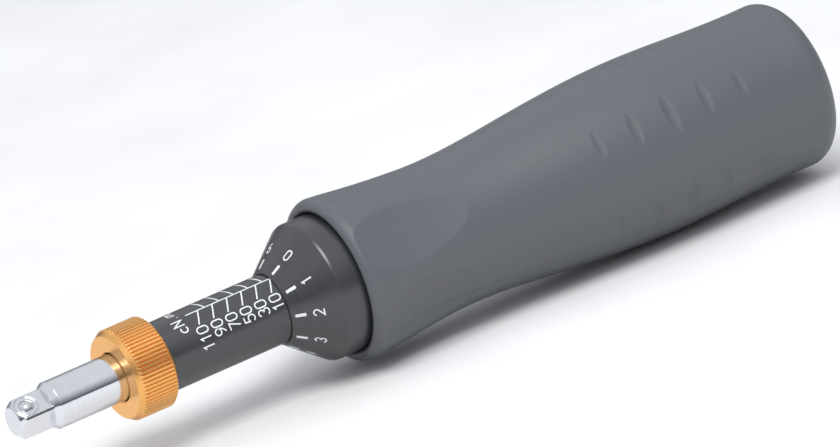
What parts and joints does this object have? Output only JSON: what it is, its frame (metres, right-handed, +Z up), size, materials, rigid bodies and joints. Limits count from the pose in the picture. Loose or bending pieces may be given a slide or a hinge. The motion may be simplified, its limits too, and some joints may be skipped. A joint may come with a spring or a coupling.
{
  "type": "torque screwdriver",
  "caption": "Adjustable torque screwdriver with a square drive, a scaled barrel, a numbered thimble, a knurled lock ring and a waisted grip.",
  "frame": {"origin": "centre of the square drive's end face", "axes": "+X along the tool from the drive to the butt, +Z up, the tool lying on its side with one grip facet down"},
  "size_m": [0.1905, 0.037, 0.037],
  "materials": {
    "grip_rubber": "fine-grained soft-touch matt",
    "black_anodised": "black anodised satin",
    "gold_anodised": "gold-orange anodised, straight knurl",
    "polished_chrome": "polished",
    "ball_steel": "polished",
    "tool_steel": "ground",
    "black_steel": "blackened",
    "spring_steel": "oiled",
    "bronze": "machined",
    "plain_aluminium": "machined",
    "bearing_plastic": "smooth"
  },
  "bodies": {
    "handle": {"grip": "grip_rubber", "thimble": "black_anodised", "core_tube": "plain_aluminium", "guide_tube": "tool_steel", "nose_bush": "bronze", "flange_screws": "black_steel", "thrust_washer": "tool_steel", "spacer_sleeve": "plain_aluminium", "tail_bush": "bronze", "end_plug": "plain_aluminium"},
    "spring_carriage": {"spring_seat": "tool_steel", "main_spring": "spring_steel"},
    "scale_barrel": {"barrel": "black_anodised", "barrel_nut": "bronze", "barrel_washer": "bearing_plastic"},
    "collet": {"clamp_collet": "tool_steel"},
    "locking_ring": {"lock_ring": "gold_anodised"},
    "follower": {"cam_follower": "tool_steel"},
    "drive_spindle": {"spindle": "polished_chrome", "cam_disc": "tool_steel", "cam_pin": "tool_steel", "ball_spring": "spring_steel"},
    "ball_cage": {"thrust_cage": "bronze", "thrust_balls": "ball_steel"},
    "detent_ball": {"drive_ball": "ball_steel"}
  },
  "joints": [
    {"name": "setting_travel", "type": "slide", "parent": "handle", "child": "spring_carriage", "axis": [1, 0, 0], "range_m": [0, 0.01925], "deforming": ["main_spring"]},
    {"name": "torque_setting", "type": "hinge", "parent": "spring_carriage", "child": "scale_barrel", "pos_m": [0.065, 0, 0], "axis": [1, 0, 0], "range_deg": [0, 3960]},
    {"name": "collet_travel", "type": "slide", "parent": "scale_barrel", "child": "collet", "axis": [-1, 0, 0], "range_m": [0, 0.00033333]},
    {"name": "lock_ring_turn", "type": "hinge", "parent": "collet", "child": "locking_ring", "pos_m": [0.029, 0, 0], "axis": [-1, 0, 0], "range_deg": [0, 120]},
    {"name": "follower_lift", "type": "slide", "parent": "handle", "child": "follower", "axis": [-1, 0, 0], "range_m": [0, 0.00213]},
    {"name": "clutch_slip", "type": "hinge", "parent": "handle", "child": "drive_spindle", "pos_m": [0.1, 0, 0], "axis": [1, 0, 0], "range_deg": [0, 32], "stiffness_Nm_per_rad": 0.2},
    {"name": "cage_turn", "type": "hinge", "parent": "handle", "child": "ball_cage", "pos_m": [0.1427, 0, 0], "axis": [1, 0, 0], "range_deg": [0, 16]},
    {"name": "ball_press", "type": "slide", "parent": "drive_spindle", "child": "detent_ball", "axis": [0, 0.5736, -0.8192], "range_m": [0, 0.0006], "stiffness_N_per_m": 1500}
  ],
  "couplings": [
    {"joint": "torque_setting", "follows": "setting_travel", "rad_per_m": 3590.4},
    {"joint": "lock_ring_turn", "follows": "collet_travel", "rad_per_m": 6283.2},
    {"joint": "follower_lift", "follows": "clutch_slip", "m_per_rad": 0.0038197},
    {"joint": "cage_turn", "follows": "clutch_slip", "ratio": 0.5}
  ]
}
